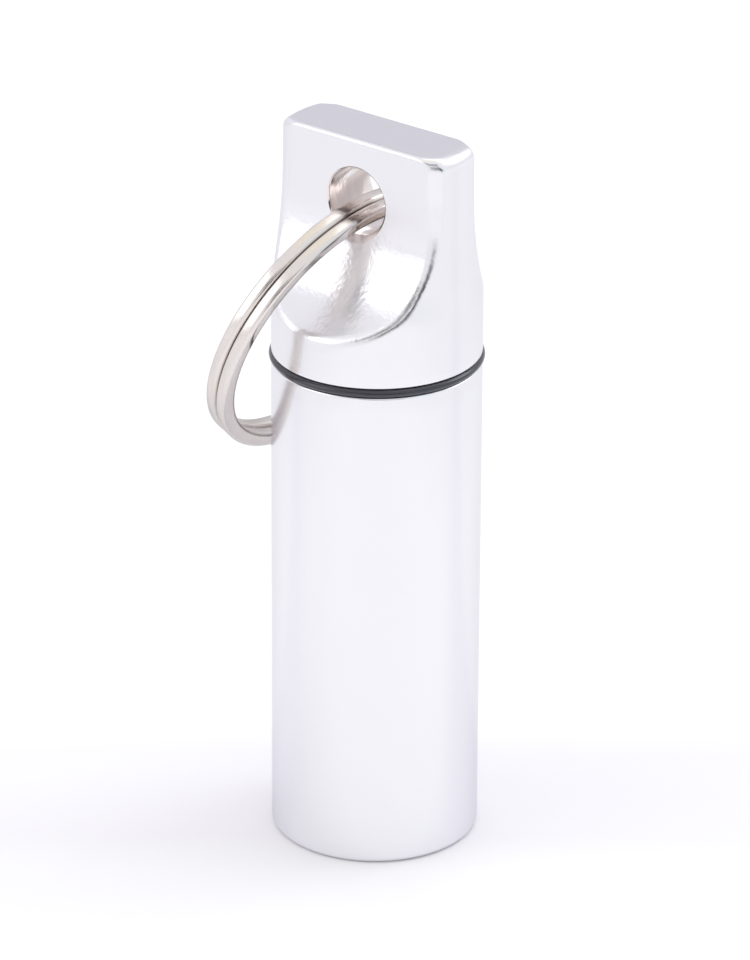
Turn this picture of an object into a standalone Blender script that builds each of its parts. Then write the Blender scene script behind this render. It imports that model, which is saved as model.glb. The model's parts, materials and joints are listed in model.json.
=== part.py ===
"""Screw-top canister for a key ring: tube, lid, seal and split ring.

The frame: metres, +Z up along the canister's axis, origin at the centre of its flat base.
The lid's two flats face -Y and +Y, the cross-hole runs along Y, and the split ring hangs
towards -X, leaning on the tube.
"""
import math

import bmesh
import bpy
from mathutils import Matrix, Vector

MM = 0.001

# ---- driving dimensions, in millimetres ----
BODY_RADIUS = 8.0            # tube and lid skirt
CANISTER_HEIGHT = 39.1       # base to rim
SEAL_GAP = 0.7               # squeezed seal between rim and lid
LID_TOP = 57.35              # total height

# tube
BASE_EDGE_RADIUS = 0.5       # rounded outer bottom edge
RIM_CHAMFER = 0.15
BORE_RADIUS = 6.2
BORE_FLOOR = 1.6             # thickness of the closed bottom
BORE_FLOOR_RADIUS = 0.6      # rounded inner bottom corner
MOUTH_DEPTH = 6.5            # length of the threaded mouth

# screw thread
THREAD_PITCH = 1.5
THREAD_MAJOR = 6.95          # root radius of the thread in the tube
THREAD_MINOR = 6.3           # crest radius of the thread in the tube
THREAD_CLEARANCE = 0.1       # radial clearance of the lid's thread
THREAD_CREST_WIDTH = 0.25
FLANK_ANGLE = math.radians(30.0)
THREAD_TURNS = 2.4
THREAD_START = 34.6          # height where the lid's thread begins
RIDGE_BURIED = 0.2           # how deep a ridge's foot is buried in its wall

# lid
SPIGOT_LENGTH = 6.0
SPIGOT_RADIUS = 6.15
SPIGOT_BORE = 4.9
SPIGOT_BORE_DEPTH = 6.8
NECK_RADIUS = 6.85           # plain neck above the thread, which carries the seal
NECK_LENGTH = 0.95
SKIRT_TOP = 44.5             # the turned side narrows a little above this height
UPPER_HEIGHT = 47.0          # and is straight from here up
UPPER_RADIUS = 7.84
TOP_EDGE_RADIUS = 1.0
TAB_THICKNESS = 5.08         # across the two flats
SCOOP_RADIUS = 9.6           # the flats run out in a scoop of this radius
SCOOP_TANGENT = 52.0         # height where the scoop leaves the flat
HOLE_RADIUS = 2.64
HOLE_HEIGHT = 52.45
DRILL_HALF_ANGLE = math.radians(59.0)
CORNER_CUTS = (              # height, cut back along the flat, cut back round the side
    (48.0, 0.03, 0.03),
    (50.0, 0.42, 0.38),
    (54.0, 0.80, 0.62),
    (LID_TOP + 1.0, 0.86, 0.68),
)

# seal
SEAL_CLEARANCE = 0.02
SEAL_INNER = 6.9
SEAL_OUTER = 8.17

# split ring
RING_OUTER = 11.85
WIRE_THICKNESS = 1.25        # radial
WIRE_WIDTH = 1.06            # axial, of one turn
TURN_GAP = 0.03              # between the two turns
RING_PIVOT = (-0.25, 51.3)   # x and z of the wire's centre where it passes through the hole
RING_LEAN = math.radians(23.5)    # from straight down, towards -X
RING_SIDEWAYS = math.radians(1.35)    # the loose ring hangs a little towards +Y
RING_TWIST = math.radians(3.2)        # and is turned a little about its hanging direction
JOG_ANGLE = math.radians(30.0)    # arc over which the wire crosses to the other turn
JOG_PLACE = math.radians(250.0)   # where the crossing begins, from the hole, front side first
END_GAP = math.radians(2.5)       # free space left at each cut end

WIRE_ROUNDING = 0.24         # of the wire's corners

WELD_DISTANCE = 0.002        # points closer than this are one
SLIVER_LENGTH = 0.0005
SHARP_ANGLE = math.radians(32.0)
ROUND_STEPS = 64
HOLE_STEPS = 40
RING_STEPS = 44              # per turn
THREAD_STEPS = 40            # per turn


def arc(centre_r, centre_z, radius, start, end, steps):
    """Points of a circular arc in the (radius, height) half-plane, angles in degrees."""
    points = []
    for index in range(steps + 1):
        angle = math.radians(start + (end - start) * index / steps)
        points.append((centre_r + radius * math.cos(angle), centre_z + radius * math.sin(angle)))
    return points


def new_object(name, bm, material=None):
    """Turn a bmesh whose units are millimetres into a named object with sound normals."""
    bmesh.ops.remove_doubles(bm, verts=bm.verts, dist=WELD_DISTANCE)
    bmesh.ops.dissolve_degenerate(bm, edges=bm.edges, dist=SLIVER_LENGTH)
    bmesh.ops.recalc_face_normals(bm, faces=bm.faces)
    bmesh.ops.scale(bm, vec=Vector((MM, MM, MM)), verts=bm.verts)
    mesh = bpy.data.meshes.new(name)
    bm.to_mesh(mesh)
    bm.free()
    mesh.shade_smooth()
    mesh.set_sharp_from_angle(angle=SHARP_ANGLE)
    obj = bpy.data.objects.new(name, mesh)
    bpy.context.scene.collection.objects.link(obj)
    if material:
        mesh.materials.append(material)
    return obj


def lathe(name, profile, material=None, closed=False):
    """Spin an outline of (radius, height) points round the Z axis."""
    bm = bmesh.new()
    verts = [bm.verts.new((radius, 0.0, height)) for radius, height in profile]
    edges = [bm.edges.new(pair) for pair in zip(verts, verts[1:])]
    if closed:
        edges.append(bm.edges.new((verts[-1], verts[0])))
    bmesh.ops.spin(bm, geom=verts + edges, cent=(0, 0, 0), axis=(0, 0, 1),
                   angle=2 * math.pi, steps=ROUND_STEPS, use_merge=True)
    return new_object(name, bm, material)


def sweep(name, sections, material=None):
    """Join a chain of equal closed sections into one solid with filled ends."""
    bm = bmesh.new()
    rings = [[bm.verts.new(point) for point in section] for section in sections]
    count = len(rings[0])
    for first, second in zip(rings, rings[1:]):
        for index in range(count):
            after = (index + 1) % count
            bm.faces.new((first[index], first[after], second[after], second[index]))
    bm.faces.new(rings[0])
    bm.faces.new(rings[-1])
    return new_object(name, bm, material)


def thread_ridge(name, foot, crest, start, turns):
    """A helical ridge with a trapezium section, from a wall at radius foot to its crest.

    The ridge sinks into the wall at both ends, as a cut thread runs out.
    """
    outward = 1.0 if crest > foot else -1.0
    buried = foot - outward * RIDGE_BURIED
    steps = round(turns * THREAD_STEPS)
    fade = THREAD_STEPS // 8
    sections = []
    for index in range(steps + 1):
        angle = 2 * math.pi * index / THREAD_STEPS
        height = start + THREAD_PITCH * index / THREAD_STEPS
        near_end = min(index, steps - index, fade) / fade
        top = foot - outward * RIDGE_BURIED / 2 + (crest - foot + outward * RIDGE_BURIED / 2) * near_end
        half_top = THREAD_CREST_WIDTH / 2
        half_foot = half_top + abs(crest - buried) * math.tan(FLANK_ANGLE)
        corners = ((buried, -half_foot), (top, -half_top), (top, half_top), (buried, half_foot))
        sections.append([(radius * math.cos(angle), radius * math.sin(angle), height + shift)
                         for radius, shift in corners])
    return sweep(name, sections)


def boolean(obj, cutter, operation):
    """Apply an exact Boolean and delete its second operand."""
    cutter.hide_render = True
    cutter.display_type = 'WIRE'
    modifier = obj.modifiers.new(operation.lower(), 'BOOLEAN')
    modifier.operation = operation
    modifier.solver = 'EXACT'
    modifier.object = cutter
    depsgraph = bpy.context.evaluated_depsgraph_get()
    mesh = bpy.data.meshes.new_from_object(obj.evaluated_get(depsgraph))
    obj.modifiers.clear()
    obj.data = mesh
    bpy.data.objects.remove(cutter, do_unlink=True)


def make_material(name, colour, roughness, metallic):
    material = bpy.data.materials.new(name)
    material.use_nodes = True
    shader = material.node_tree.nodes['Principled BSDF']
    shader.inputs['Base Color'].default_value = (*colour, 1.0)
    shader.inputs['Roughness'].default_value = roughness
    shader.inputs['Metallic'].default_value = metallic
    return material


def make_canister(material):
    """The closed-bottom tube with the thread inside its mouth."""
    rim = CANISTER_HEIGHT
    mouth_floor = rim - MOUTH_DEPTH
    edge = BASE_EDGE_RADIUS
    corner = BORE_FLOOR_RADIUS
    profile = [(0.0, 0.0)]
    profile += arc(BODY_RADIUS - edge, edge, edge, -90, 0, 4)
    profile += [(BODY_RADIUS, rim - RIM_CHAMFER), (BODY_RADIUS - RIM_CHAMFER, rim)]
    profile += [(THREAD_MAJOR + RIM_CHAMFER, rim), (THREAD_MAJOR, rim - RIM_CHAMFER)]
    profile += [(THREAD_MAJOR, mouth_floor), (BORE_RADIUS, mouth_floor)]
    profile += arc(BORE_RADIUS - corner, BORE_FLOOR + corner, corner, 0, -90, 3)
    profile += [(0.0, BORE_FLOOR)]
    tube = lathe('canister', profile, material)
    below = THREAD_PITCH / 2
    ridge = thread_ridge('tube_thread', THREAD_MAJOR, THREAD_MINOR, THREAD_START - below,
                         THREAD_TURNS + below / THREAD_PITCH)
    boolean(tube, ridge, 'UNION')
    return tube


def lid_profile():
    """Outline of the turned lid, from the centre of its top down and round to its bore's end."""
    flange = CANISTER_HEIGHT + SEAL_GAP
    spigot_end = flange - SPIGOT_LENGTH
    edge = TOP_EDGE_RADIUS
    fall = UPPER_HEIGHT - SKIRT_TOP
    inset = BODY_RADIUS - UPPER_RADIUS
    flare = (fall ** 2 + inset ** 2) / (2 * inset)
    flare_angle = math.degrees(math.asin(fall / flare))
    profile = [(0.0, LID_TOP)]
    profile += arc(UPPER_RADIUS - edge, LID_TOP - edge, edge, 90, 0, 5)
    profile += arc(UPPER_RADIUS + flare, UPPER_HEIGHT, flare, 180, 180 + flare_angle, 3)
    profile += [(BODY_RADIUS, flange + RIM_CHAMFER), (BODY_RADIUS - RIM_CHAMFER, flange)]
    profile += [(NECK_RADIUS, flange), (NECK_RADIUS, flange - NECK_LENGTH)]
    profile += [(SPIGOT_RADIUS, flange - NECK_LENGTH - (NECK_RADIUS - SPIGOT_RADIUS))]
    profile += [(SPIGOT_RADIUS, spigot_end + RIM_CHAMFER), (SPIGOT_RADIUS - RIM_CHAMFER, spigot_end)]
    profile += [(SPIGOT_BORE, spigot_end), (SPIGOT_BORE, spigot_end + SPIGOT_BORE_DEPTH)]
    drill_tip = SPIGOT_BORE / math.tan(DRILL_HALF_ANGLE)
    return profile + [(0.0, spigot_end + SPIGOT_BORE_DEPTH + drill_tip)]


def scoop_cutter(side):
    """The solid that mills one flat and the scoop it runs out in; side is -1 or +1."""
    face = TAB_THICKNESS / 2
    reach = BODY_RADIUS + 2.0
    centre_y = face + SCOOP_RADIUS
    outline = [(face, LID_TOP + 2.0)]
    low_angle = math.degrees(math.acos((centre_y - reach) / SCOOP_RADIUS))
    outline += arc(centre_y, SCOOP_TANGENT, SCOOP_RADIUS, 180, 180 + low_angle, 12)
    outline += [(reach, LID_TOP + 2.0)]
    sections = [[(x, side * y, z) for y, z in outline] for x in (-reach, reach)]
    return sweep('scoop', sections)


def flat_depth(height):
    """Distance of a flat, or of the scoop below it, from the lid's middle plane."""
    drop = max(SCOOP_TANGENT - height, 0.0)
    return TAB_THICKNESS / 2 + SCOOP_RADIUS - math.sqrt(SCOOP_RADIUS ** 2 - drop ** 2)


def corner_cutter(side_x, side_y):
    """The solid that bevels one upright edge of the tab, fading out down the scoop."""
    reach = 1.5
    sections = []
    for height, along, around in CORNER_CUTS:
        flat_y = flat_depth(height)
        on_flat = Vector((math.sqrt((UPPER_RADIUS - along) ** 2 - flat_y ** 2), flat_y))
        round_y = flat_y - around
        on_round = Vector((math.sqrt(UPPER_RADIUS ** 2 - round_y ** 2), round_y))
        bevel = (on_round - on_flat).normalized()
        outward = Vector((-bevel.y, bevel.x))
        corners = (on_flat - bevel * reach, on_round + bevel * reach,
                   (on_flat + on_round) / 2 + outward * reach)
        sections.append([(side_x * x, side_y * y, height) for x, y in corners])
    return sweep('corner', sections)


def make_cap(material):
    """The turned and milled lid with its threaded spigot."""
    cap = lathe('cap', lid_profile(), material)
    for side in (-1, 1):
        boolean(cap, scoop_cutter(side), 'DIFFERENCE')
    for side_x, side_y in ((1, 1), (-1, 1), (-1, -1), (1, -1)):
        boolean(cap, corner_cutter(side_x, side_y), 'DIFFERENCE')
    bm = bmesh.new()
    turn = Matrix.Translation((0, 0, HOLE_HEIGHT)) @ Matrix.Rotation(math.pi / 2, 4, 'X')
    bmesh.ops.create_cone(bm, cap_ends=True, segments=HOLE_STEPS, radius1=HOLE_RADIUS,
                          radius2=HOLE_RADIUS, depth=4 * BODY_RADIUS, matrix=turn)
    boolean(cap, new_object('hole', bm), 'DIFFERENCE')
    ridge = thread_ridge('lid_thread', SPIGOT_RADIUS, THREAD_MAJOR - THREAD_CLEARANCE,
                         THREAD_START, THREAD_TURNS)
    boolean(cap, ridge, 'UNION')
    return cap


def make_seal(material):
    """The squeezed O-ring: flat where the metal grips it, bulging on its outer side."""
    low = CANISTER_HEIGHT + SEAL_CLEARANCE
    half = SEAL_GAP / 2 - SEAL_CLEARANCE
    middle = low + half
    profile = arc(SEAL_OUTER - half, middle, half, -90, 90, 6)
    profile += arc(SEAL_INNER + half / 2, middle, half, 90, 270, 4)[1:-1]
    inner = [(max(radius, SEAL_INNER), height) for radius, height in profile]
    return lathe('o_ring', inner, material, closed=True)


def ring_frame():
    """Centre of the split ring, its direction towards the hole, and its axis."""
    down = Vector((-math.sin(RING_LEAN), 0.0, -math.cos(RING_LEAN)))
    axis = Vector((-math.cos(RING_LEAN), 0.0, math.sin(RING_LEAN)))
    down = Matrix.Rotation(-RING_SIDEWAYS, 3, axis) @ down
    axis = Matrix.Rotation(RING_TWIST, 3, down) @ axis
    pivot = Vector((RING_PIVOT[0], 0.0, RING_PIVOT[1]))
    return pivot + down * (RING_OUTER - WIRE_THICKNESS / 2), -down, axis


def make_split_ring(material):
    """Two turns of flattened wire with one crossing and two cut ends."""
    centre, up, axis = ring_frame()
    front = up.cross(axis)
    mean_radius = RING_OUTER - WIRE_THICKNESS / 2
    level = (WIRE_WIDTH + TURN_GAP) / 2
    corners = wire_section()
    start = JOG_PLACE + JOG_ANGLE + END_GAP
    end = JOG_PLACE + 4 * math.pi - END_GAP
    crossing = JOG_PLACE + 2 * math.pi
    steps = round((end - start) / (2 * math.pi) * RING_STEPS)
    sections = []
    for index in range(steps + 1):
        angle = start + (end - start) * index / steps
        share = min(max((angle - crossing) / JOG_ANGLE, 0.0), 1.0)
        offset = level * -math.cos(math.pi * share)
        outward = up * math.cos(angle) + front * math.sin(angle)
        sections.append([centre + outward * (mean_radius + radial) + axis * (offset + along)
                         for radial, along in corners])
    return sweep('split_ring', sections, material)


def wire_section():
    """The flattened wire's outline: rounded corners on a rectangle."""
    half_thick = WIRE_THICKNESS / 2
    half_wide = WIRE_WIDTH / 2
    rounding = WIRE_ROUNDING
    points = []
    for sign_r, sign_a in ((1, 1), (1, -1), (-1, -1), (-1, 1)):
        pair = [(sign_r * half_thick, sign_a * (half_wide - rounding)),
                (sign_r * (half_thick - rounding), sign_a * half_wide)]
        points += pair if sign_r == -sign_a else pair[::-1]
    return points


def main():
    for obj in list(bpy.data.objects):
        bpy.data.objects.remove(obj, do_unlink=True)
    aluminium = make_material('satin_aluminium', (0.80, 0.79, 0.83), 0.35, 1.0)
    rubber = make_material('black_rubber', (0.012, 0.012, 0.015), 0.5, 0.0)
    nickel = make_material('nickel_plate', (0.66, 0.62, 0.58), 0.22, 1.0)
    make_canister(aluminium)
    make_cap(aluminium)
    make_seal(rubber)
    make_split_ring(nickel)


main()
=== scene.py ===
"""Looks of the screw-top keyring canister: fine meshes, procedural materials, camera and light.

Every length below is in millimetres unless it says otherwise. Each piece is computed in
millimetres and turned into metres when its mesh is made.
"""

import json
import math

import bpy
import numpy as np
from mathutils import Matrix, Vector


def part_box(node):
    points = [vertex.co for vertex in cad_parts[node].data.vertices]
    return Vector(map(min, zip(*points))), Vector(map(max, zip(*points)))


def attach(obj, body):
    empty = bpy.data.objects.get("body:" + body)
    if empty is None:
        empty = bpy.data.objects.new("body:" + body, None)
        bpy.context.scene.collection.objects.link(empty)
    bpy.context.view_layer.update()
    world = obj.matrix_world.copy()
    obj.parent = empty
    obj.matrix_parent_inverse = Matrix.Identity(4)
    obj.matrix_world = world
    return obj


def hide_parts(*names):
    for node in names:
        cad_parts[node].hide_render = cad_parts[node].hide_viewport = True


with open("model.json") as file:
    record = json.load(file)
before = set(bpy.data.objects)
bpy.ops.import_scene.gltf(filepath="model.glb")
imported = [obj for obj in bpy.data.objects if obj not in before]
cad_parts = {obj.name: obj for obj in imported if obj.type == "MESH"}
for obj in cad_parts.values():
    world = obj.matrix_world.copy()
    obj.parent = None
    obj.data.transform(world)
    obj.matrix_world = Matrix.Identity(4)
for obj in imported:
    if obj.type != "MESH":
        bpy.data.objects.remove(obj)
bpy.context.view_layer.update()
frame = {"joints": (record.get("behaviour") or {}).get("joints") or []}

MM = 0.001
TAU = 2 * math.pi

# ---- sizes read from the frame ----
tube_box = [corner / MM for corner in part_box("canister")]
lid_box = [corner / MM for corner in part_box("cap")]
seal_box = [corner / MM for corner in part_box("o_ring")]
joints = {joint["name"]: joint for joint in frame["joints"]}

BODY_RADIUS = tube_box[1].x
RIM = tube_box[1].z
LID_TOP = lid_box[1].z
SPIGOT_END = lid_box[0].z
SEAL_OUTER = seal_box[1].x
SEAL_LOW = seal_box[0].z
SEAL_HIGH = seal_box[1].z
SEAL_CLEARANCE = SEAL_LOW - RIM
FLANGE = SEAL_HIGH + SEAL_CLEARANCE
RING_PIVOT = Vector(joints["ring_swing"]["pos_m"]) / MM

# ---- the tube's and the lid's other sizes, as in the CAD ----
BASE_EDGE = 0.5
BORE_RADIUS = 6.2
BORE_FLOOR = 1.6
FLOOR_CORNER = 0.6
MOUTH_DEPTH = 6.5
RIM_EDGE = 0.15
THREAD_PITCH = 1.5
THREAD_MAJOR = 6.95
THREAD_MINOR = 6.3
THREAD_CLEARANCE = 0.1
THREAD_CREST_WIDTH = 0.25
THREAD_TURNS = 2.4
THREAD_START = 34.6
THREAD_RUN_OUT = 0.125       # of a turn, at each end
FLANK_SLOPE = math.tan(math.radians(60.0))
SPIGOT_RADIUS = 6.15
SPIGOT_BORE = 4.9
SPIGOT_BORE_DEPTH = 6.8
NECK_RADIUS = 6.85
NECK_LENGTH = 0.95
SKIRT_TOP = 44.5
UPPER_HEIGHT = 47.0
UPPER_RADIUS = 7.84
TOP_EDGE = 1.0
TAB_THICKNESS = 5.08
SCOOP_RADIUS = 9.6
SCOOP_TANGENT = 52.0
HOLE_RADIUS = 2.64
HOLE_HEIGHT = 52.45
FLAT_EDGE = 0.32
CORNER_CUTS = (              # height, cut back along the flat or scoop, cut back round the side
    (43.0, 0.22, 0.32),
    (47.0, 0.30, 0.32),
    (50.0, 0.42, 0.38),
    (54.0, 0.80, 0.62),
    (58.4, 0.86, 0.68),
)

# ---- the split ring ----
RING_OUTER = 11.85
WIRE_THICKNESS = 1.25
WIRE_WIDTH = 1.06
TURN_GAP = 0.03
RING_LEAN = math.radians(23.5)
RING_SIDEWAYS = math.radians(1.35)
RING_TWIST = math.radians(3.2)
JOG_ANGLE = math.radians(30.0)
JOG_PLACE = math.radians(250.0)
END_GAP = math.radians(2.5)

# ---- small roundings, and how the metal is polished over its edges ----
SCOOP_ROUNDING = 0.2
BEVEL_ROUNDING = 0.12
MARK_BLEND = 0.08
CORNER_ROUND = 0.1
HOLE_EDGE = 0.14
SEAL_INNER = 6.9
SEAL_INNER_ROUND = 0.3
SEAL_BULGE = 0.42
WIRE_SQUARENESS = 3.6
WIRE_END_ROUND = 0.12
WIRE_END_SHRINK = 0.22
DRILL_HALF_ANGLE = math.radians(59.0)

# ---- fineness ----
LID_STEPS = 424
TUBE_STEPS = 288
SEAL_STEPS = 288
RING_STEPS = 200
WIRE_STEPS = 36
HOLE_STEPS = 144
BISECTIONS = 34
SHARP_ANGLE = math.radians(38.0)

# ---- the camera, angles in degrees ----
CAMERA_AZIMUTH = 38.3
CAMERA_ELEVATION = 24.6
CAMERA_ROLL = 0.3
CAMERA_DISTANCE = 461.8
CAMERA_LENS = 227.4
SENSOR_WIDTH = 36.0
TARGET_HEIGHT = 28.81
TARGET_SHIFT = 0.095

# ---- the studio: angles in degrees, distances and sizes in metres ----
LIGHTS = (                   # name, azimuth, elevation, distance, size, watts, colour
    ("front_softbox", -38, 24, 0.8, (0.7, 0.5), 0.9, (1.0, 1.0, 1.0)),
    ("back_softbox", 149, 34, 0.8, (0.45, 0.35), 1.0, (0.90, 0.96, 1.0)),
    ("top_softbox", 170, 72, 0.8, (0.5, 0.5), 0.5, (1.0, 1.0, 1.0)),
)
CARDS = (                    # name, azimuth, elevation, distance, size, radiance
    ("dark_front", 46, 3.5, 0.62, (0.50, 0.21), (0.04, 0.04, 0.045)),
    ("dark_upper", 15, 27, 0.66, (0.32, 0.17), (0.24, 0.25, 0.23)),
    ("warm_top", -40, 78, 0.65, (0.32, 0.32), (1.03, 0.99, 0.87)),
    ("blue_right", 89, 7, 0.65, (0.26, 0.20), (0.60, 0.92, 1.08)),
    ("back_grey", -142, 28, 0.9, (0.95, 0.8), (0.77, 0.76, 0.81)),
)
WORLD_COLOUR = (0.97, 0.965, 1.0, 1.0)
WORLD_STRENGTH = 0.965
FLOOR_REACH = 3.0
LIGHT_TARGET = Vector((0, 0, 0.03))
CARD_TARGET = Vector((0, 0, 0.04))


# ------------------------------------------------------------------ mesh helpers

def grid_mesh(name, rings, first_apex=None, last_apex=None, closed=False, marks=None):
    """A closed skin over rings of points, each ring with the same count of points.

    An apex closes an end with a fan; closed joins the last ring to the first. marks gives
    one number for each ring or point, kept in the mesh as the attribute "milled".
    """
    rings = np.asarray(rings, float)
    count, steps, _ = rings.shape
    points = [rings.reshape(-1, 3)]
    index = np.arange(count * steps).reshape(count, steps)
    upper, lower = index[:-1], index[1:]
    if closed:
        upper, lower = index, np.roll(index, -1, axis=0)
    quads = np.stack([upper, lower, np.roll(lower, -1, 1), np.roll(upper, -1, 1)], -1)
    faces = quads.reshape(-1, 4).tolist()
    total = count * steps
    for apex, ring, flip in ((first_apex, index[0], False), (last_apex, index[-1], True)):
        if apex is None:
            continue
        points.append(np.array([apex], float))
        after = np.roll(ring, -1)
        pair = (after, ring) if flip else (ring, after)
        faces += [[int(total), int(a), int(b)] for a, b in zip(*pair)]
        total += 1
    verts = np.concatenate(points) * MM
    mesh = bpy.data.meshes.new(name)
    mesh.from_pydata(verts.tolist(), [], faces)
    if marks is not None:
        values = np.zeros(total)
        values[:count * steps] = np.broadcast_to(marks, (count, steps)).reshape(-1)
        layer = mesh.attributes.new("milled", 'FLOAT', 'POINT')
        layer.data.foreach_set("value", values.astype(np.float32))
    return finish_mesh(name, mesh)


def finish_mesh(name, mesh):
    """Shade the mesh smooth over all but its sharp edges, and put it in the scene."""
    mesh.validate()
    mesh.shade_smooth()
    mesh.set_sharp_from_angle(angle=SHARP_ANGLE)
    obj = bpy.data.objects.new(name, mesh)
    bpy.context.scene.collection.objects.link(obj)
    return obj


def arc(centre_r, centre_z, radius, start, end, steps):
    """Points of a circular arc in the (radius, height) half-plane, angles in degrees."""
    angles = np.radians(np.linspace(start, end, steps + 1))
    return [(centre_r + radius * math.cos(a), centre_z + radius * math.sin(a)) for a in angles]


def straight(first, last, steps):
    """Points from first to last, both left out."""
    shares = np.linspace(0, 1, steps + 1)[1:-1]
    return [(first[0] + (last[0] - first[0]) * s, first[1] + (last[1] - first[1]) * s)
            for s in shares]


def levels_to_rings(levels, steps):
    """Turn (radius or radii, height) levels into rings of points round the Z axis."""
    angles = TAU * np.arange(steps) / steps
    rings = np.empty((len(levels), steps, 3))
    for row, (radius, height) in zip(rings, levels):
        row[:, 0] = radius * np.cos(angles)
        row[:, 1] = radius * np.sin(angles)
        row[:, 2] = height
    return rings


def thread_lift(height, start, turns, steps):
    """How far, from 0 to 1, a helical ridge stands out at each angle of a level."""
    turn_share = np.arange(steps) / steps
    place = (height - start) / THREAD_PITCH - turn_share
    lift = np.zeros(steps)
    for wrap in (np.floor(place), np.floor(place) + 1):
        along = wrap + turn_share
        offset = np.abs(place - wrap) * THREAD_PITCH
        depth = THREAD_MAJOR - THREAD_MINOR
        form = 1 - (offset - THREAD_CREST_WIDTH / 2) * FLANK_SLOPE / depth
        ends = np.minimum(along, turns - along) / THREAD_RUN_OUT
        lift = np.maximum(lift, np.clip(form, 0, 1) * smooth(ends))
    return lift


def smooth(x):
    """An even S-curve from 0 to 1."""
    x = np.clip(x, 0, 1)
    return x * x * (3 - 2 * x)


# ------------------------------------------------------------------ the lid

def turned_radius(height):
    """Radius of the lid's turned outside, from the skirt to the rounded top edge."""
    edge_low = LID_TOP - TOP_EDGE
    if height > edge_low:
        rise = min(height - edge_low, TOP_EDGE)
        return UPPER_RADIUS - TOP_EDGE + math.sqrt(TOP_EDGE ** 2 - rise ** 2)
    share = smooth((height - SKIRT_TOP) / (UPPER_HEIGHT - SKIRT_TOP))
    return BODY_RADIUS + (UPPER_RADIUS - BODY_RADIUS) * share


def lid_radii(height):
    """Radius of the lid's outside at every angle of one level, and how far it is milled."""
    angles = TAU * np.arange(LID_STEPS) / LID_STEPS
    sine = np.abs(np.sin(angles))
    turned = turned_radius(height)
    rise = max(height - (LID_TOP - FLAT_EDGE), 0)
    inset = FLAT_EDGE - math.sqrt(max(FLAT_EDGE ** 2 - rise ** 2, 0))
    centre_y = TAB_THICKNESS / 2 + SCOOP_RADIUS
    drop = max(SCOOP_TANGENT - height, 0)
    levels, along_cuts, around_cuts = zip(*CORNER_CUTS)
    along = np.interp(height, levels, along_cuts)
    around = np.interp(height, levels, around_cuts)
    slant = along * around / math.hypot(along, around)

    def surfaces(radius):
        outside = radius - turned
        across = radius * sine
        if drop > 0:
            scooped = SCOOP_RADIUS - np.sqrt((across - centre_y) ** 2 + drop ** 2)
        else:
            scooped = across - TAB_THICKNESS / 2 + inset
        return outside, scooped, (outside / along + scooped / around + 1) * slant

    def softer_max(first, second, rounding):
        gap = np.maximum(rounding - np.abs(first - second), 0) / rounding
        return np.maximum(first, second) + gap * gap * rounding / 4

    low = np.zeros(LID_STEPS)
    high = np.full(LID_STEPS, turned + 0.001)
    for _ in range(BISECTIONS):
        middle = (low + high) / 2
        outside, scooped, bevel = surfaces(middle)
        worn = softer_max(softer_max(outside, bevel, BEVEL_ROUNDING), scooped, SCOOP_ROUNDING)
        low = np.where(worn < 0, middle, low)
        high = np.where(worn < 0, high, middle)
    outside, scooped, bevel = surfaces(low)
    on_scoop = smooth(0.5 + (scooped - np.maximum(outside, bevel)) / MARK_BLEND)
    on_bevel = smooth(0.5 + (bevel - np.maximum(outside, scooped)) / MARK_BLEND)
    scoop_gloss = on_scoop * smooth((SCOOP_TANGENT - height) / 2.2)
    edge_gloss = on_scoop * smooth(rise / 0.1)
    round_gloss = (1 - on_scoop) * smooth((height - LID_TOP + TOP_EDGE) / 0.3) * 0.6
    bevel_gloss = on_bevel * (1 - 0.45 * smooth((height - 48.0) / 3.0))
    return low, np.maximum.reduce([scoop_gloss, edge_gloss, round_gloss, bevel_gloss])


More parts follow.
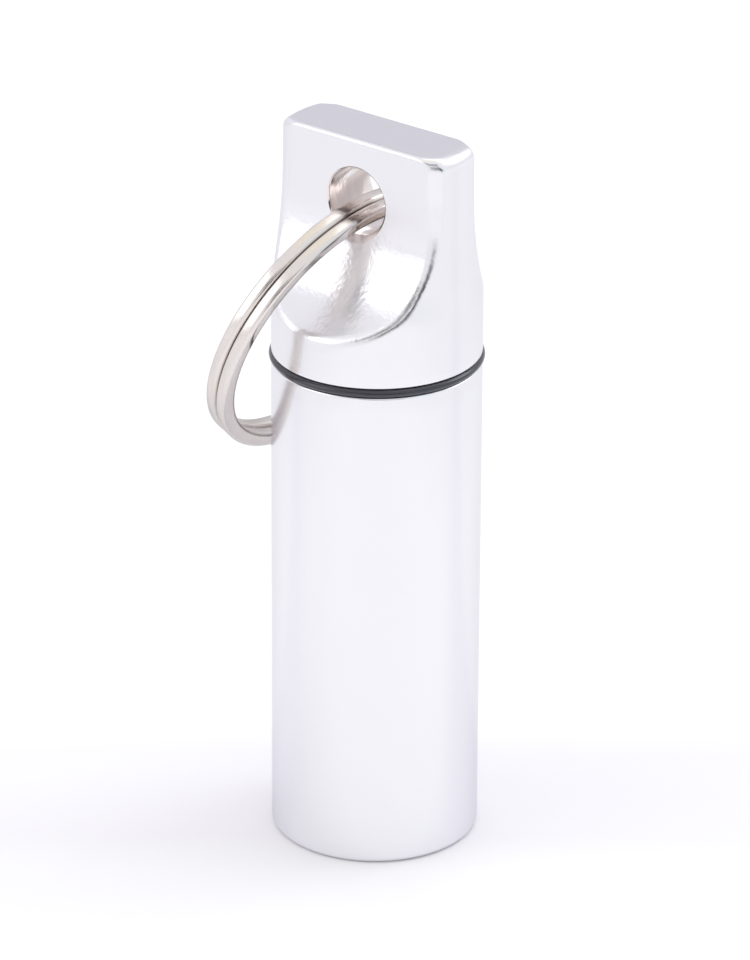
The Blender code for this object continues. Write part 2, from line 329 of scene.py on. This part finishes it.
def make_lid():
    """The turned and milled lid: tab, scoops, skirt, neck, screw thread and hollow."""
    levels = []
    marks = []

    def add(radius, height, mark=0.0):
        levels.append((radius, height))
        marks.append(np.broadcast_to(mark, LID_STEPS))

    top_radii, _ = lid_radii(LID_TOP)
    for share in np.linspace(0.08, 1.0, 12):
        add(top_radii * share, LID_TOP)
    heights = [LID_TOP - TOP_EDGE + TOP_EDGE * math.sin(a)
               for a in np.radians(np.linspace(86, 0, 22))]
    heights += list(np.arange(heights[-1] - 0.2, 51.0, -0.2))
    heights += list(np.arange(heights[-1] - 0.14, 45.2, -0.14))
    heights += list(np.arange(heights[-1] - 0.065, 43.0, -0.065))
    for height in heights:
        radii, milled = lid_radii(height)
        add(radii, height, milled)
    low_edge = FLANGE + RIM_EDGE
    for height in np.linspace(42.8, low_edge, 6):
        add(BODY_RADIUS, height)
    for radius, height in arc(BODY_RADIUS - RIM_EDGE, low_edge, RIM_EDGE, -15, -90, 5):
        add(radius, height)
    neck_corner = NECK_RADIUS + CORNER_ROUND
    for radius in (7.6, 7.2, neck_corner):
        add(radius, FLANGE)
    for radius, height in arc(neck_corner, FLANGE - CORNER_ROUND, CORNER_ROUND, 120, 180, 3):
        add(radius, height)
    neck_low = FLANGE - NECK_LENGTH
    add(NECK_RADIUS, neck_low + 0.05)
    add(NECK_RADIUS - 0.05, neck_low - 0.02)
    relief = neck_low - (NECK_RADIUS - SPIGOT_RADIUS)
    reach = THREAD_MAJOR - THREAD_CLEARANCE - SPIGOT_RADIUS
    for height in np.arange(neck_low - 0.09, SPIGOT_END + 0.25, -0.09):
        core = SPIGOT_RADIUS + max(height - relief, 0)
        lift = thread_lift(height, THREAD_START, THREAD_TURNS, LID_STEPS)
        add(np.maximum(core, SPIGOT_RADIUS + reach * lift), height)
    for radius, height in arc(SPIGOT_RADIUS - 0.2, SPIGOT_END + 0.2, 0.2, 0, -90, 6):
        add(radius, height)
    for radius, height in arc(SPIGOT_BORE + 0.15, SPIGOT_END + 0.15, 0.15, -90, -180, 4):
        add(radius, height)
    bore_end = SPIGOT_END + SPIGOT_BORE_DEPTH
    for height in np.linspace(SPIGOT_END + 0.5, bore_end, 14):
        add(SPIGOT_BORE, height)
    tip = SPIGOT_BORE / math.tan(DRILL_HALF_ANGLE)
    for share in (0.03, 0.35, 0.7, 0.92):
        add(SPIGOT_BORE * (1 - share), bore_end + tip * share)
    rings = levels_to_rings(levels, LID_STEPS)
    lid = grid_mesh("lid_fine", rings, (0, 0, LID_TOP), (0, 0, bore_end + tip),
                    marks=np.array(marks))
    cut_cross_hole(lid)
    return lid


def cut_cross_hole(lid):
    """Drill the cross-hole and break its edges, cutting with a turned tool along Y."""
    mouth = TAB_THICKNESS / 2
    flare = HOLE_RADIUS + HOLE_EDGE
    profile = [(flare + 0.6, mouth + 0.6), (flare, mouth)]
    profile += arc(flare, mouth - HOLE_EDGE, HOLE_EDGE, 150, 180, 3)
    profile += straight(profile[-1], (HOLE_RADIUS, 0), 4) + [(HOLE_RADIUS, 0)]
    profile += [(radius, -height) for radius, height in reversed(profile[:-1])]
    rings = levels_to_rings(profile, HOLE_STEPS)
    rings = rings[:, :, [0, 2, 1]] * np.array([1, -1, 1])
    rings[:, :, 2] += HOLE_HEIGHT
    ends = [(0, -profile[0][1], HOLE_HEIGHT), (0, -profile[-1][1], HOLE_HEIGHT)]
    tool = grid_mesh("hole_tool", rings, ends[0], ends[1])
    tool.data.materials.append(materials["drilled"])
    lid.data.materials.append(materials["satin"])
    cutter = lid.modifiers.new("hole", 'BOOLEAN')
    cutter.operation = 'DIFFERENCE'
    cutter.solver = 'EXACT'
    cutter.material_mode = 'TRANSFER'
    cutter.object = tool
    depsgraph = bpy.context.evaluated_depsgraph_get()
    cut = bpy.data.meshes.new_from_object(lid.evaluated_get(depsgraph))
    lid.modifiers.clear()
    lid.data = cut
    bpy.data.objects.remove(tool, do_unlink=True)
    cut.shade_smooth()
    cut.set_sharp_from_angle(angle=SHARP_ANGLE)


# ------------------------------------------------------------------ the tube

def make_tube():
    """The closed-bottom tube with the thread cut inside its mouth."""
    levels = [(radius, 0.0) for radius in np.linspace(0.8, BODY_RADIUS - BASE_EDGE - 0.4, 8)]
    levels += arc(BODY_RADIUS - BASE_EDGE, BASE_EDGE, BASE_EDGE, -90, 0, 12)
    wall_top = RIM - RIM_EDGE
    levels += straight(levels[-1], (BODY_RADIUS, wall_top), 24)
    levels += arc(BODY_RADIUS - RIM_EDGE, wall_top, RIM_EDGE, 0, 90, 6)
    levels += [(7.6, RIM), (7.3, RIM)]
    levels += arc(THREAD_MAJOR + RIM_EDGE, RIM - RIM_EDGE, RIM_EDGE, 90, 180, 5)
    mouth_floor = RIM - MOUTH_DEPTH
    below = THREAD_PITCH / 2
    for height in np.arange(RIM - 0.25, mouth_floor + 0.03, -0.06):
        lift = thread_lift(height, THREAD_START - below, THREAD_TURNS + 0.5, TUBE_STEPS)
        levels.append((THREAD_MAJOR - (THREAD_MAJOR - THREAD_MINOR) * lift, height))
    levels += [(THREAD_MAJOR, mouth_floor), (THREAD_MAJOR - 0.3, mouth_floor)]
    levels += arc(BORE_RADIUS + CORNER_ROUND, mouth_floor - CORNER_ROUND, CORNER_ROUND, 90, 180, 4)
    levels += straight(levels[-1], (BORE_RADIUS, BORE_FLOOR + FLOOR_CORNER), 20)
    levels += arc(BORE_RADIUS - FLOOR_CORNER, BORE_FLOOR + FLOOR_CORNER, FLOOR_CORNER, 0, -90, 8)
    levels += [(radius, BORE_FLOOR) for radius in np.linspace(5.2, 0.6, 6)]
    rings = levels_to_rings(levels, TUBE_STEPS)
    tube = grid_mesh("tube_fine", rings[::-1], (0, 0, BORE_FLOOR), (0, 0, 0),
                     marks=np.zeros((1, 1)))
    tube.data.materials.append(materials["satin"])
    return tube


# ------------------------------------------------------------------ the seal

def make_seal():
    """The squeezed O-ring, flattened where the metal grips it."""
    half = (SEAL_HIGH - SEAL_LOW) / 2
    middle = (SEAL_HIGH + SEAL_LOW) / 2
    outer_centre = SEAL_OUTER - SEAL_BULGE
    inner_centre = SEAL_INNER + SEAL_INNER_ROUND
    outline = []
    for angle in np.radians(np.linspace(-90, 90, 19)):
        outline.append((outer_centre + SEAL_BULGE * math.cos(angle), middle + half * math.sin(angle)))
    outline += straight(outline[-1], (inner_centre, SEAL_HIGH), 5)
    for angle in np.radians(np.linspace(90, 270, 15)):
        outline.append((inner_centre + SEAL_INNER_ROUND * math.cos(angle),
                        middle + half * math.sin(angle)))
    outline += straight(outline[-1], outline[0], 5)
    rings = levels_to_rings(outline[::-1], SEAL_STEPS)
    seal = grid_mesh("seal_fine", rings, closed=True)
    seal.data.materials.append(materials["rubber"])
    return seal


# ------------------------------------------------------------------ the split ring

def make_ring():
    """Two turns of flattened wire with one crossing and two ground ends."""
    down = Vector((-math.sin(RING_LEAN), 0.0, -math.cos(RING_LEAN)))
    axis = Vector((-math.cos(RING_LEAN), 0.0, math.sin(RING_LEAN)))
    down = Matrix.Rotation(-RING_SIDEWAYS, 3, axis) @ down
    axis = Matrix.Rotation(RING_TWIST, 3, down) @ axis
    mean_radius = RING_OUTER - WIRE_THICKNESS / 2
    centre = np.array(RING_PIVOT + down * mean_radius)
    front = np.array((-down).cross(axis))
    up, axis = -np.array(down), np.array(axis)
    level = (WIRE_WIDTH + TURN_GAP) / 2
    start = JOG_PLACE + JOG_ANGLE + END_GAP
    end = JOG_PLACE + 2 * TAU - END_GAP
    crossing = JOG_PLACE + TAU
    section = wire_section()
    steps = round((end - start) / TAU * RING_STEPS)
    end_round = WIRE_END_ROUND / mean_radius
    places = list(np.linspace(start + end_round, end - end_round, steps))
    sizes = [1.0] * len(places)
    for angle in np.radians((22, 45, 68, 86)):
        places.insert(0, start + end_round * (1 - math.sin(angle)))
        places.append(end - end_round * (1 - math.sin(angle)))
        size = 1 - WIRE_END_SHRINK * (1 - math.cos(angle))
        sizes.insert(0, size)
        sizes.append(size)
    rings = []
    for place, size in zip(places, sizes):
        share = min(max((place - crossing) / JOG_ANGLE, 0.0), 1.0)
        offset = -level * math.cos(math.pi * share)
        outward = up * math.cos(place) + front * math.sin(place)
        rings.append([centre + outward * (mean_radius + radial * size)
                      + axis * (offset + along * size) for radial, along in section])
    rings = np.array(rings[::-1])
    ring = grid_mesh("ring_fine", rings, rings[0].mean(0), rings[-1].mean(0))
    ring.data.materials.append(materials["nickel"])
    return ring


def wire_section():
    """The flattened wire's outline as a superellipse: crowned faces and round corners."""
    power = 2 / WIRE_SQUARENESS
    points = []
    for angle in TAU * np.arange(WIRE_STEPS) / WIRE_STEPS:
        cosine, sine = math.cos(angle), math.sin(angle)
        points.append((WIRE_THICKNESS / 2 * math.copysign(abs(cosine) ** power, cosine),
                       WIRE_WIDTH / 2 * math.copysign(abs(sine) ** power, sine)))
    return points


# ------------------------------------------------------------------ materials

def new_material(name, base, roughness, metallic):
    material = bpy.data.materials.new(name)
    material.use_nodes = True
    nodes = material.node_tree.nodes
    shader = nodes["Principled BSDF"]
    shader.inputs["Base Color"].default_value = (*base, 1.0)
    shader.inputs["Roughness"].default_value = roughness
    shader.inputs["Metallic"].default_value = metallic
    return material, nodes, material.node_tree.links, shader


def noise(nodes, links, scale, detail=2.0, roughness=0.5, stretch=None):
    """A noise texture in object space, scale in features per metre, optionally stretched."""
    coordinates = nodes.new("ShaderNodeTexCoord")
    texture = nodes.new("ShaderNodeTexNoise")
    texture.inputs["Scale"].default_value = scale
    texture.inputs["Detail"].default_value = detail
    texture.inputs["Roughness"].default_value = roughness
    if stretch:
        mapping = nodes.new("ShaderNodeMapping")
        mapping.inputs["Scale"].default_value = stretch
        links.new(coordinates.outputs["Object"], mapping.inputs["Vector"])
        links.new(mapping.outputs["Vector"], texture.inputs["Vector"])
    else:
        links.new(coordinates.outputs["Object"], texture.inputs["Vector"])
    return texture.outputs["Fac"]


def remap(nodes, links, value, low, high, to_low, to_high):
    """A value moved from one range to another, and held inside it."""
    node = nodes.new("ShaderNodeMapRange")
    node.inputs["From Min"].default_value = low
    node.inputs["From Max"].default_value = high
    node.inputs["To Min"].default_value = to_low
    node.inputs["To Max"].default_value = to_high
    links.new(value, node.inputs["Value"])
    return node.outputs["Result"]


def math_node(nodes, links, operation, first, second):
    node = nodes.new("ShaderNodeMath")
    node.operation = operation
    for socket, value in zip(node.inputs, (first, second)):
        if isinstance(value, (int, float)):
            socket.default_value = value
        else:
            links.new(value, socket)
    return node.outputs["Value"]


def distance_along(nodes, links, direction):
    """Signed distance in millimetres along a level direction, from the object's origin."""
    coordinates = nodes.new("ShaderNodeTexCoord")
    along = nodes.new("ShaderNodeVectorMath")
    along.operation = 'DOT_PRODUCT'
    along.inputs[1].default_value = direction / MM
    links.new(coordinates.outputs["Object"], along.inputs[0])
    return along.outputs["Value"]


def speckle(nodes, links, shader, darker, lighter, scale, detail, roughness=0.5):
    """Vary the base colour between two close tones, in grains too fine to see singly."""
    grain = nodes.new("ShaderNodeMix")
    grain.data_type = 'RGBA'
    grain.inputs["A"].default_value = (*darker, 1.0)
    grain.inputs["B"].default_value = (*lighter, 1.0)
    links.new(noise(nodes, links, scale, detail, roughness), grain.inputs["Factor"])
    links.new(grain.outputs["Result"], shader.inputs["Base Color"])


def bump(nodes, links, height, strength, distance):
    """A normal from a height, with the bump's distance in metres."""
    node = nodes.new("ShaderNodeBump")
    node.inputs["Strength"].default_value = strength
    node.inputs["Distance"].default_value = distance
    links.new(height, node.inputs["Height"])
    return node.outputs["Normal"]


def satin_aluminium():
    """Finely blasted, clear anodised aluminium, glossier where it is milled or bevelled."""
    material, nodes, links, shader = new_material("satin_aluminium", (0.872, 0.865, 0.892), 0.3, 1.0)
    milled = nodes.new("ShaderNodeAttribute")
    milled.attribute_name = "milled"
    cloud = noise(nodes, links, 350, 3)
    satin = remap(nodes, links, cloud, 0.3, 0.7, 0.20, 0.24)
    cutter_marks = noise(nodes, links, 900, 2, 0.5, (0.12, 1.0, 1.0))
    bright = remap(nodes, links, cutter_marks, 0.3, 0.7, 0.17, 0.27)
    share = milled.outputs["Fac"]
    difference = math_node(nodes, links, 'SUBTRACT', bright, satin)
    blended = math_node(nodes, links, 'MULTIPLY', difference, share)
    links.new(math_node(nodes, links, 'ADD', satin, blended), shader.inputs["Roughness"])
    speckle(nodes, links, shader, (0.852, 0.845, 0.874), (0.892, 0.885, 0.910), 8000, 2)
    shader.inputs["Specular Tint"].default_value = (0.84, 0.84, 0.86, 1)
    ripple = noise(nodes, links, 2600, 2, 0.5, (1.0, 1.0, 0.8))
    height = math_node(nodes, links, 'MULTIPLY', ripple, share)
    links.new(bump(nodes, links, height, 0.5, 0.00004), shader.inputs["Normal"])
    return material


def drilled_aluminium():
    """The bright wall of the cross-hole, with the drill's fine rings."""
    material, nodes, links, shader = new_material("drilled_aluminium", (0.84, 0.79, 0.775), 0.16, 1.0)
    rings = noise(nodes, links, 1400, 2, 0.6, (0.15, 1.0, 0.15))
    links.new(remap(nodes, links, rings, 0.3, 0.7, 0.1, 0.24), shader.inputs["Roughness"])
    links.new(bump(nodes, links, rings, 0.4, 0.0001), shader.inputs["Normal"])
    return material


def black_rubber():
    """Smooth black rubber with a faint oily gloss."""
    material, nodes, links, shader = new_material("black_rubber", (0.013, 0.013, 0.024), 0.3, 0.0)
    shader.inputs["Specular IOR Level"].default_value = 0.8
    cloud = noise(nodes, links, 2500, 3)
    links.new(remap(nodes, links, cloud, 0.3, 0.7, 0.12, 0.24), shader.inputs["Roughness"])
    links.new(bump(nodes, links, cloud, 0.2, 0.00003), shader.inputs["Normal"])
    return material


def nickel_plate():
    """Nickel-plated spring wire with a fine grain."""
    material, nodes, links, shader = new_material("nickel_plate", (0.80, 0.752, 0.718), 0.2, 1.0)
    cloud = noise(nodes, links, 600, 3)
    links.new(remap(nodes, links, cloud, 0.3, 0.7, 0.14, 0.24), shader.inputs["Roughness"])
    speckle(nodes, links, shader, (0.74, 0.696, 0.664), (0.83, 0.780, 0.746), 6500, 3, 0.6)
    shader.inputs["Specular Tint"].default_value = (0.6, 0.6, 0.6, 1)
    links.new(bump(nodes, links, noise(nodes, links, 3000, 2), 0.12, 0.00005), shader.inputs["Normal"])
    return material


# ------------------------------------------------------------------ stage

def camera_frame(azimuth, elevation):
    """Direction from the object to a viewer, and the viewer's right, at angles in degrees."""
    a, e = math.radians(azimuth), math.radians(elevation)
    back = Vector((math.sin(a) * math.cos(e), -math.cos(a) * math.cos(e), math.sin(e)))
    return back, Vector((math.cos(a), math.sin(a), 0.0))


def make_camera():
    """The camera, a little rolled, looking at the object's middle."""
    back, right = camera_frame(CAMERA_AZIMUTH, CAMERA_ELEVATION)
    target = Vector((0, 0, TARGET_HEIGHT)) - right * TARGET_SHIFT
    data = bpy.data.cameras.new("camera")
    data.lens = CAMERA_LENS
    data.sensor_width = SENSOR_WIDTH
    data.clip_start = 0.01
    data.clip_end = 20.0
    camera = bpy.data.objects.new("camera", data)
    camera.location = (target + back * CAMERA_DISTANCE) * MM
    roll = Matrix.Rotation(math.radians(CAMERA_ROLL), 4, 'Z')
    camera.matrix_world = (Matrix.Translation(camera.location)
                           @ back.to_track_quat('Z', 'Y').to_matrix().to_4x4() @ roll)
    bpy.context.scene.collection.objects.link(camera)
    bpy.context.scene.camera = camera


def make_panel(name, centre, half_wide, half_tall):
    """A flat four-cornered panel: its centre, and the vectors to its right and top edges."""
    corners = [centre + half_wide * sx + half_tall * sy
               for sx, sy in ((-1, -1), (1, -1), (1, 1), (-1, 1))]
    mesh = bpy.data.meshes.new(name)
    mesh.from_pydata([tuple(corner) for corner in corners], [], [(0, 1, 2, 3)])
    panel = bpy.data.objects.new(name, mesh)
    bpy.context.scene.collection.objects.link(panel)
    return panel


def make_floor():
    """A white floor with one faint grey band of painted shade across it, a little darker out to the
    sides.
    """
    reach = (Vector((FLOOR_REACH, 0, 0)), Vector((0, FLOOR_REACH, 0)))
    floor = make_panel("floor", Vector((0, 0, 0)), *reach)
    material, nodes, links, shader = new_material("floor", (0.95, 0.95, 0.96), 0.8, 0.0)
    shader.inputs["Specular IOR Level"].default_value = 0.2
    back, right = camera_frame(CAMERA_AZIMUTH, 0)
    along = distance_along(nodes, links, -back)
    sideways = math_node(nodes, links, 'ABSOLUTE', distance_along(nodes, links, right), 0)
    near = remap(nodes, links, along, -9.0, -3.5, 0, 1)
    far = remap(nodes, links, along, 17.0, 10.5, 0, 1)
    # painted shade: a faint grey band across the floor, from a little in front of the object to behind
    # it
    painted_shade_band = nodes.new("ShaderNodeMix")
    painted_shade_band.data_type = 'RGBA'
    painted_shade_band.inputs["A"].default_value = (0.96, 0.958, 0.955, 1)
    painted_shade_band.inputs["B"].default_value = (0.91, 0.90, 0.918, 1)
    links.new(math_node(nodes, links, 'MULTIPLY', near, far), painted_shade_band.inputs["Factor"])
    side_fall = remap(nodes, links, sideways, 60, 105, 1, 0.91)
    dimmed = nodes.new("ShaderNodeVectorMath")
    dimmed.operation = 'SCALE'
    links.new(painted_shade_band.outputs["Result"], dimmed.inputs["Vector"])
    links.new(side_fall, dimmed.inputs["Scale"])
    links.new(dimmed.outputs["Vector"], shader.inputs["Base Color"])
    floor.data.materials.append(material)


def make_light(name, azimuth, elevation, distance, size, power, colour):
    """A rectangular area light that faces the object, hidden from the camera."""
    data = bpy.data.lights.new(name, 'AREA')
    data.shape = 'RECTANGLE'
    data.size, data.size_y = size
    data.energy = power
    data.color = colour
    light = bpy.data.objects.new(name, data)
    back, _ = camera_frame(azimuth, elevation)
    light.location = LIGHT_TARGET + back * distance
    light.rotation_euler = back.to_track_quat('Z', 'Y').to_euler()
    light.visible_camera = False
    bpy.context.scene.collection.objects.link(light)


def make_card(name, azimuth, elevation, distance, size, radiance):
    """A card of the given radiance that faces the object, seen only in reflections."""
    back, right = camera_frame(azimuth, elevation)
    half_wide = right * size[0] / 2
    half_tall = back.cross(right) * size[1] / 2
    card = make_panel(name, CARD_TARGET + back * distance, half_wide, half_tall)
    material, nodes, links, shader = new_material(name, (0.0, 0.0, 0.0), 1.0, 0.0)
    shader.inputs["Specular IOR Level"].default_value = 0.0
    shader.inputs["Emission Color"].default_value = (*radiance, 1.0)
    shader.inputs["Emission Strength"].default_value = 1.0
    card.data.materials.append(material)
    card.visible_camera = False
    card.visible_shadow = False
    card.visible_diffuse = False


def make_world():
    """An even, nearly white surrounding."""
    world = bpy.data.worlds.new("studio")
    world.use_nodes = True
    background = world.node_tree.nodes["Background"]
    background.inputs["Color"].default_value = WORLD_COLOUR
    background.inputs["Strength"].default_value = WORLD_STRENGTH
    bpy.context.scene.world = world


# ------------------------------------------------------------------ build

materials = {
    "satin": satin_aluminium(),
    "drilled": drilled_aluminium(),
    "rubber": black_rubber(),
    "nickel": nickel_plate(),
}

make_camera()
pieces = (
    (make_tube(), "tube", "canister", "satin_aluminium"),
    (make_lid(), "lid", "cap", "satin_aluminium"),
    (make_seal(), "seal", "o_ring", "black_rubber"),
    (make_ring(), "key_ring", "split_ring", "nickel_plate"),
)
for piece, body, node, slot in pieces:
    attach(piece, body)
    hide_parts(node)

make_floor()
make_world()
for light in LIGHTS:
    make_light(*light)
for card in CARDS:
    make_card(*card)

view_settings = bpy.context.scene.view_settings
view_settings.view_transform = 'Standard'
